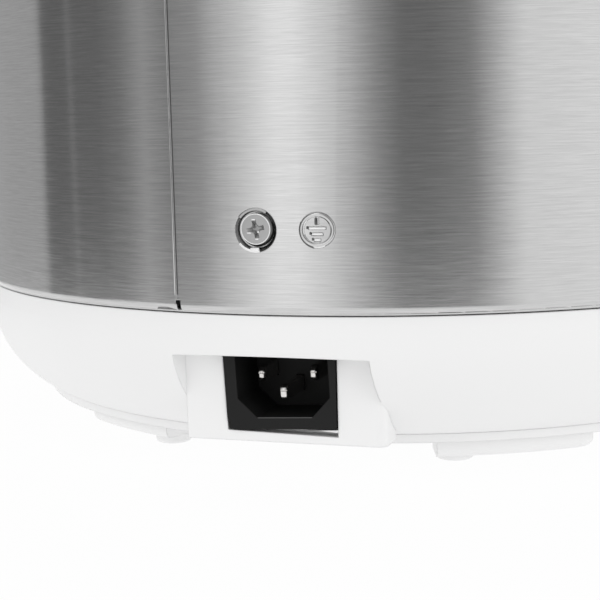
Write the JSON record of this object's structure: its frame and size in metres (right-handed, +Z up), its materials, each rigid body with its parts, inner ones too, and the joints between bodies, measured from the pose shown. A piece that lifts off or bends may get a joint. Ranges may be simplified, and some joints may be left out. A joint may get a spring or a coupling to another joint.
{
  "type": "multicooker",
  "caption": "Round electric multicooker with brushed steel band, white bowl base and lid, rear mains inlet, removable pot and front push buttons",
  "frame": {"origin": "on the floor under the middle of the body", "axes": "+Z up, +Y out of the rear with the mains inlet, +X to the left seen from behind"},
  "size_m": [0.3312, 0.313, 0.2339],
  "materials": {
    "white_plastic": "white moulded plastic, low gloss",
    "white_rubber": "white soft plastic feet",
    "brushed_band": "stainless sheet, fine level brushing",
    "zinc_screw": "zinc-plated steel",
    "black_plastic": "black moulded plastic",
    "nickel_pin": "nickel-plated brass",
    "brass_tab": "bare brass",
    "lead_sleeve": "silicone lead sleeve",
    "circuit_board": "solder-masked board",
    "part_plastic": "component housings",
    "cast_aluminium": "cast and pressed aluminium",
    "spring_steel": "spring and sheet steel",
    "pot_coating": "dark non-stick coating",
    "silicone": "pale silicone",
    "panel_plastic": "dark gloss panel",
    "window_plastic": "smoked clear plastic",
    "button_plastic": "pale grey buttons",
    "grey_plastic": "grey moulded plastic"
  },
  "bodies": {
    "cooker_body": {"base_shell": "white_plastic", "bottom_plate": "white_plastic", "feet": "white_rubber", "bottom_screws": "zinc_screw", "steel_band": "brushed_band", "earth_screw": "zinc_screw", "earth_tab": "brass_tab", "inlet_housing": "black_plastic", "inlet_pins": "nickel_pin", "inlet_earth_pin": "nickel_pin", "inlet_screws": "zinc_screw", "inlet_leads": "lead_sleeve", "power_board": "circuit_board", "board_screws": "zinc_screw", "terminal_block": "part_plastic", "power_relay": "part_plastic", "power_transformer": "part_plastic", "filter_capacitor": "part_plastic", "heat_shield": "cast_aluminium", "heater_legs": "cast_aluminium", "heating_plate": "cast_aluminium", "heater_screws": "zinc_screw", "heater_tabs": "nickel_pin", "thermal_fuse": "cast_aluminium", "sensor_guide": "part_plastic", "sensor_spring": "spring_steel", "heat_well": "spring_steel", "well_screws": "zinc_screw", "top_ring": "white_plastic", "side_handle_left": "white_plastic", "side_handle_right": "white_plastic", "hinge_pin": "zinc_screw", "lock_catch": "white_plastic", "control_panel": "panel_plastic", "display_window": "window_plastic", "display_module": "part_plastic", "control_board": "circuit_board", "tact_switches": "part_plastic"},
    "pot": {"inner_pot": "pot_coating"},
    "bottom_sensor": {"sensor_cap": "cast_aluminium"},
    "lid": {"lid_shell": "white_plastic", "lid_liner": "white_plastic", "inner_lid": "cast_aluminium", "lid_gasket": "silicone"},
    "lock": {"lid_lock": "grey_plastic"},
    "valve": {"steam_valve": "white_plastic", "steam_valve_gasket": "silicone"},
    "valve_cap": {"steam_valve_cap": "white_plastic"},
    "cup": {"condensate_cup": "white_plastic"},
    "menu_key": {"menu_button": "button_plastic"},
    "time_key": {"time_button": "button_plastic"},
    "delay_key": {"delay_button": "button_plastic"},
    "minus_key": {"minus_button": "button_plastic"},
    "set_key": {"set_button": "button_plastic"},
    "plus_key": {"plus_button": "button_plastic"},
    "cancel_key": {"cancel_button": "button_plastic"},
    "start_key": {"start_button": "button_plastic"}
  },
  "joints": [
    {"name": "lid_hinge", "type": "hinge", "parent": "cooker_body", "child": "lid", "pos_m": [0, 0.144, 0.191], "axis": [-1, 0, 0], "range_deg": [0, 95]},
    {"name": "lid_lock_slide", "type": "slide", "parent": "lid", "child": "lock", "axis": [1, 0, 0], "range_m": [0, 0.011]},
    {"name": "steam_valve_lift", "type": "slide", "parent": "lid", "child": "valve", "axis": [0, 0, 1], "range_m": [0, 0.04]},
    {"name": "steam_cap_turn", "type": "hinge", "parent": "valve", "child": "valve_cap", "pos_m": [0, 0.05, 0.2269], "axis": [0, 0, 1], "range_deg": [0, 45]},
    {"name": "condensate_cup_slide", "type": "slide", "parent": "cooker_body", "child": "cup", "axis": [0, 1, 0], "range_m": [0, 0.04]},
    {"name": "pot_turn", "type": "hinge", "parent": "cooker_body", "child": "pot", "pos_m": [0, 0, 0.058], "axis": [0, 0, 1], "continuous": true},
    {"name": "sensor_press", "type": "slide", "parent": "cooker_body", "child": "bottom_sensor", "axis": [0, 0, 1], "range_m": [-0.003, 0], "stiffness_N_per_m": 600, "springref_m": 0.001, "deforming": ["sensor_spring"]},
    {"name": "menu_press", "type": "slide", "parent": "cooker_body", "child": "menu_key", "axis": [0, 1, 0], "range_m": [0, 0.001], "stiffness_N_per_m": 500, "springref_m": -0.0005},
    {"name": "time_press", "type": "slide", "parent": "cooker_body", "child": "time_key", "axis": [0, 1, 0], "range_m": [0, 0.001], "stiffness_N_per_m": 500, "springref_m": -0.0005},
    {"name": "delay_press", "type": "slide", "parent": "cooker_body", "child": "delay_key", "axis": [0, 1, 0], "range_m": [0, 0.001], "stiffness_N_per_m": 500, "springref_m": -0.0005},
    {"name": "minus_press", "type": "slide", "parent": "cooker_body", "child": "minus_key", "axis": [0, 1, 0], "range_m": [0, 0.001], "stiffness_N_per_m": 500, "springref_m": -0.0005},
    {"name": "set_press", "type": "slide", "parent": "cooker_body", "child": "set_key", "axis": [0, 1, 0], "range_m": [0, 0.001], "stiffness_N_per_m": 500, "springref_m": -0.0005},
    {"name": "plus_press", "type": "slide", "parent": "cooker_body", "child": "plus_key", "axis": [0, 1, 0], "range_m": [0, 0.001], "stiffness_N_per_m": 500, "springref_m": -0.0005},
    {"name": "cancel_press", "type": "slide", "parent": "cooker_body", "child": "cancel_key", "axis": [0, 1, 0], "range_m": [0, 0.001], "stiffness_N_per_m": 500, "springref_m": -0.0005},
    {"name": "start_press", "type": "slide", "parent": "cooker_body", "child": "start_key", "axis": [0, 1, 0], "range_m": [0, 0.001], "stiffness_N_per_m": 500, "springref_m": -0.0005}
  ]
}
